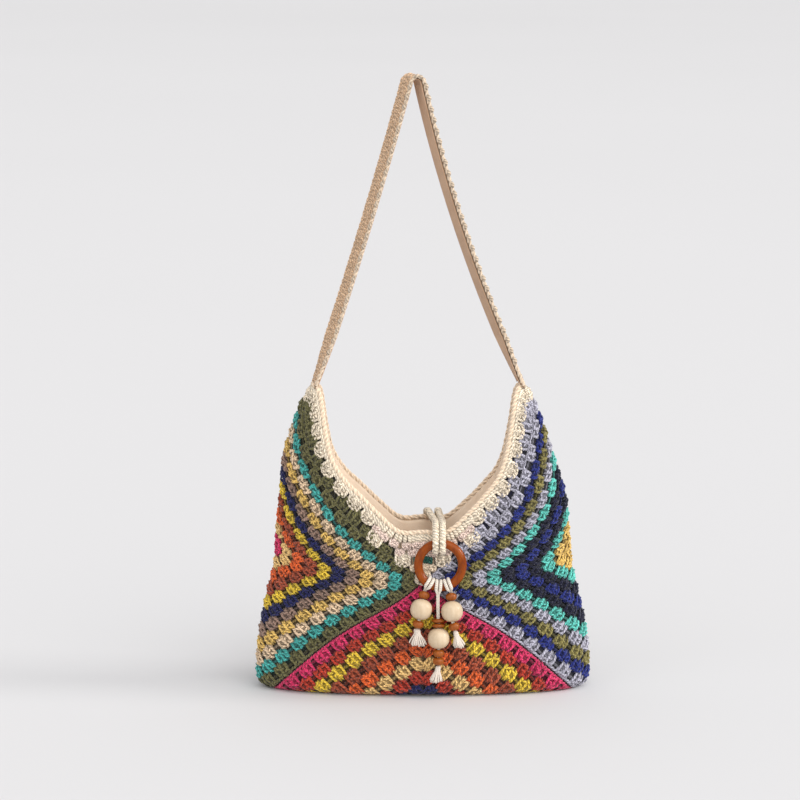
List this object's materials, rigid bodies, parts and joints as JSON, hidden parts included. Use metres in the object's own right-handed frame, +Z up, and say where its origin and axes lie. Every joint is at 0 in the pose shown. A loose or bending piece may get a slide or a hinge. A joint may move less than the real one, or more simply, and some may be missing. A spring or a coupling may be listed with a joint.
{
  "type": "crochet shoulder bag",
  "caption": "Slouchy crocheted shoulder bag of granny squares, with a curved open mouth, a flat strap over the shoulder, a closure loop and a wooden ring charm with beads and tassels.",
  "frame": {"origin": "middle of the flat base that the bag stands on", "axes": "+Z up, +X to the bag's right side as seen from the front, and the front, with the ring charm, faces -Y"},
  "size_m": [0.3348, 0.1212, 0.6199],
  "materials": {
    "olive_edged_crochet": "matte wool and cotton yarn",
    "blue_edged_crochet": "matte wool and cotton yarn",
    "pink_edged_crochet": "matte wool and cotton yarn",
    "cream_crochet": "matte cotton yarn",
    "lining_cloth": "plain woven cotton",
    "strap_backing_cloth": "smooth woven tape",
    "varnished_wood": "glossy varnish",
    "white_cotton_cord": "waxed cotton",
    "pale_wood": "satin",
    "brown_wood": "satin varnish"
  },
  "bodies": {
    "bag": {"left_square": "olive_edged_crochet", "right_square": "blue_edged_crochet", "bottom_square": "pink_edged_crochet", "neck_edging": "cream_crochet", "lining": "lining_cloth", "strap": "cream_crochet", "strap_backing": "strap_backing_cloth", "closure_loop": "cream_crochet"},
    "ring": {"wooden_ring": "varnished_wood", "left_cord": "white_cotton_cord", "middle_cord": "white_cotton_cord", "right_cord": "white_cotton_cord", "left_tassel": "white_cotton_cord", "middle_tassel": "white_cotton_cord", "right_tassel": "white_cotton_cord"},
    "left_big_bead": {"left_wood_bead": "pale_wood"},
    "middle_big_bead": {"middle_wood_bead": "pale_wood"},
    "right_big_bead": {"right_wood_bead": "pale_wood"},
    "left_top_bead": {"left_upper_bead_1": "brown_wood"},
    "left_bottom_bead": {"left_lower_bead_1": "brown_wood"},
    "middle_disc_bead_1": {"middle_upper_bead_1": "brown_wood"},
    "middle_disc_bead_2": {"middle_upper_bead_2": "brown_wood"},
    "middle_bottom_bead_1": {"middle_lower_bead_1": "brown_wood"},
    "middle_bottom_bead_2": {"middle_lower_bead_2": "brown_wood"},
    "right_top_bead": {"right_upper_bead_1": "brown_wood"},
    "right_bottom_bead": {"right_lower_bead_1": "brown_wood"}
  },
  "joints": [
    {"name": "ring_swing", "type": "hinge", "parent": "bag", "child": "ring", "pos_m": [0.017, -0.05047, 0.1592], "axis": [-1, 0, 0], "range_deg": [0, 100]},
    {"name": "left_big_bead_turn", "type": "hinge", "parent": "ring", "child": "left_big_bead", "pos_m": [-0.00198, -0.05873, 0.094], "axis": [0.1978, 0.2619, 0.9446], "continuous": true},
    {"name": "left_top_bead_turn", "type": "hinge", "parent": "ring", "child": "left_top_bead", "pos_m": [0.00089, -0.05493, 0.10769], "axis": [0.1978, 0.2619, 0.9446], "continuous": true},
    {"name": "left_bottom_bead_turn", "type": "hinge", "parent": "ring", "child": "left_bottom_bead", "pos_m": [-0.00494, -0.06141, 0.07963], "axis": [0.1961, 0, 0.9806], "continuous": true},
    {"name": "middle_big_bead_turn", "type": "hinge", "parent": "ring", "child": "middle_big_bead", "pos_m": [0.0153, -0.06085, 0.06497], "axis": [-0.0164, 0.1621, 0.9866], "continuous": true},
    {"name": "middle_disc_bead_1_turn", "type": "hinge", "parent": "ring", "child": "middle_disc_bead_1", "pos_m": [0.01509, -0.05878, 0.07759], "axis": [-0.0164, 0.1621, 0.9866], "continuous": true},
    {"name": "middle_disc_bead_2_turn", "type": "hinge", "parent": "ring", "child": "middle_disc_bead_2", "pos_m": [0.01501, -0.058, 0.08233], "axis": [-0.0164, 0.1621, 0.9866], "continuous": true},
    {"name": "middle_bottom_bead_1_turn", "type": "hinge", "parent": "ring", "child": "middle_bottom_bead_1", "pos_m": [0.01537, -0.06251, 0.05027], "axis": [0.02, 0, 0.9998], "continuous": true},
    {"name": "middle_bottom_bead_2_turn", "type": "hinge", "parent": "ring", "child": "middle_bottom_bead_2", "pos_m": [0.01521, -0.06251, 0.04207], "axis": [0.02, 0, 0.9998], "continuous": true},
    {"name": "right_big_bead_turn", "type": "hinge", "parent": "ring", "child": "right_big_bead", "pos_m": [0.02868, -0.05893, 0.09197], "axis": [-0.0581, 0.272, 0.9605], "continuous": true},
    {"name": "right_top_bead_turn", "type": "hinge", "parent": "ring", "child": "right_top_bead", "pos_m": [0.02784, -0.05499, 0.1059], "axis": [-0.0581, 0.272, 0.9605], "continuous": true},
    {"name": "right_bottom_bead_turn", "type": "hinge", "parent": "ring", "child": "right_bottom_bead", "pos_m": [0.03062, -0.06171, 0.07737], "axis": [-0.2696, 0, 0.963], "continuous": true}
  ]
}
